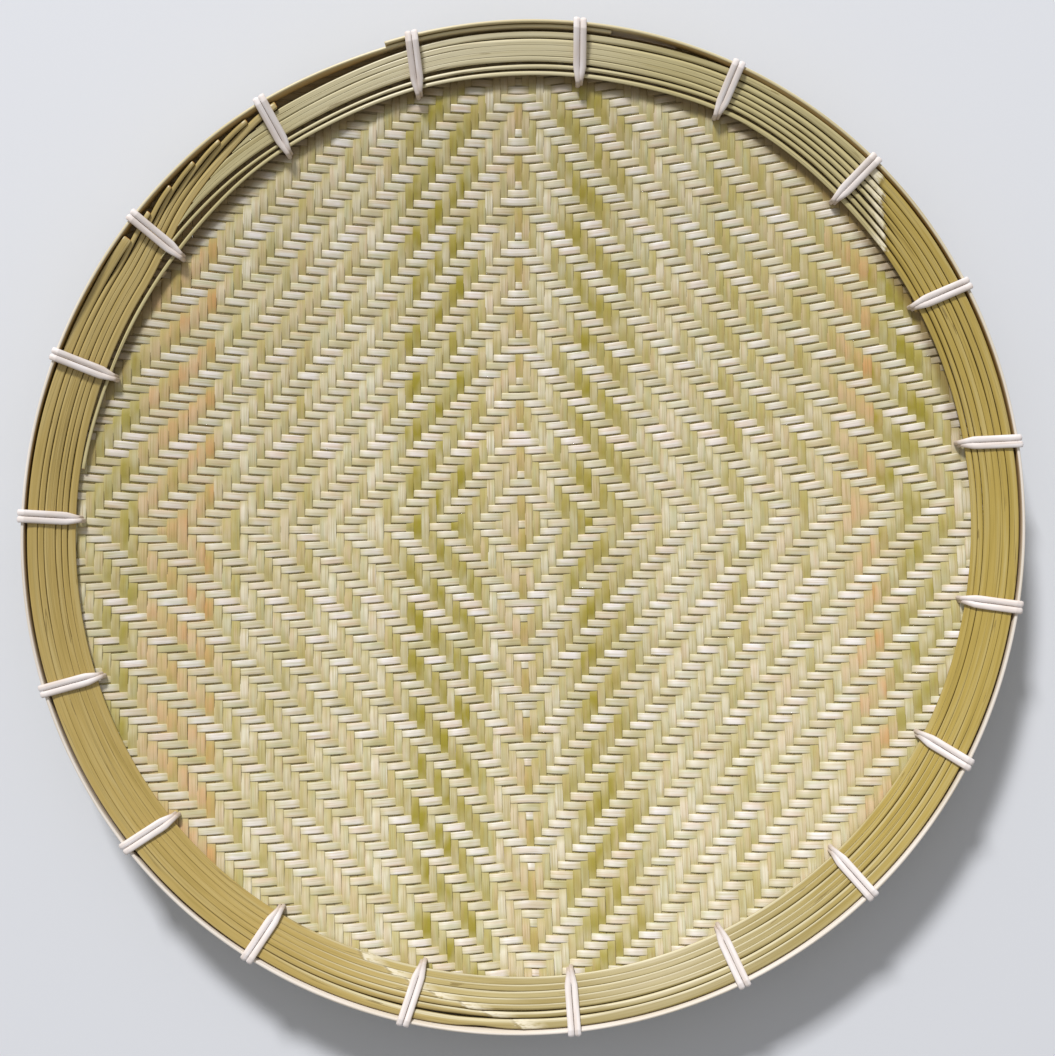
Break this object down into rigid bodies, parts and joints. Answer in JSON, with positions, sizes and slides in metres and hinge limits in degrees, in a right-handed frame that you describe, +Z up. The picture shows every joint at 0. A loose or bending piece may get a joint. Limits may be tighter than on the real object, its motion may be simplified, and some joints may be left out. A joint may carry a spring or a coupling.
{
  "type": "zaru bamboo basket",
  "caption": "Shallow round tray basket of twill-woven bamboo with a hoop and split-strip rim bound by rattan ties, for drying, draining and serving food.",
  "frame": {"origin": "underside of the woven floor's flat middle, on the surface that the tray stands on", "axes": "+Z up, out of the open side; +Y towards the hoop's lap, which is at the top in the picture; +X to its right, seen from above"},
  "size_m": [0.3984, 0.403, 0.0348],
  "materials": {
    "woven_bamboo": "split bamboo, satin",
    "hoop_bamboo": "bare bamboo, satin",
    "split_bamboo": "bamboo skin, low sheen",
    "rattan": "peeled rattan, matt"
  },
  "bodies": {
    "root": {"woven_panel": "woven_bamboo", "outer_hoop": "hoop_bamboo", "rim_strip_1": "split_bamboo", "rim_strip_2": "split_bamboo", "rim_strip_3": "split_bamboo", "rim_strip_4": "split_bamboo", "rim_strip_5": "split_bamboo", "rim_strip_6": "split_bamboo", "rim_strip_7": "split_bamboo", "rattan_tie_01": "rattan", "rattan_tie_02": "rattan", "rattan_tie_03": "rattan", "rattan_tie_04": "rattan", "rattan_tie_05": "rattan", "rattan_tie_06": "rattan", "rattan_tie_07": "rattan", "rattan_tie_08": "rattan", "rattan_tie_09": "rattan", "rattan_tie_10": "rattan", "rattan_tie_11": "rattan", "rattan_tie_12": "rattan", "rattan_tie_13": "rattan", "rattan_tie_14": "rattan", "rattan_tie_15": "rattan", "rattan_tie_16": "rattan", "rattan_tie_17": "rattan", "rattan_tie_18": "rattan", "rattan_tie_19": "rattan"}
  },
  "joints": []
}
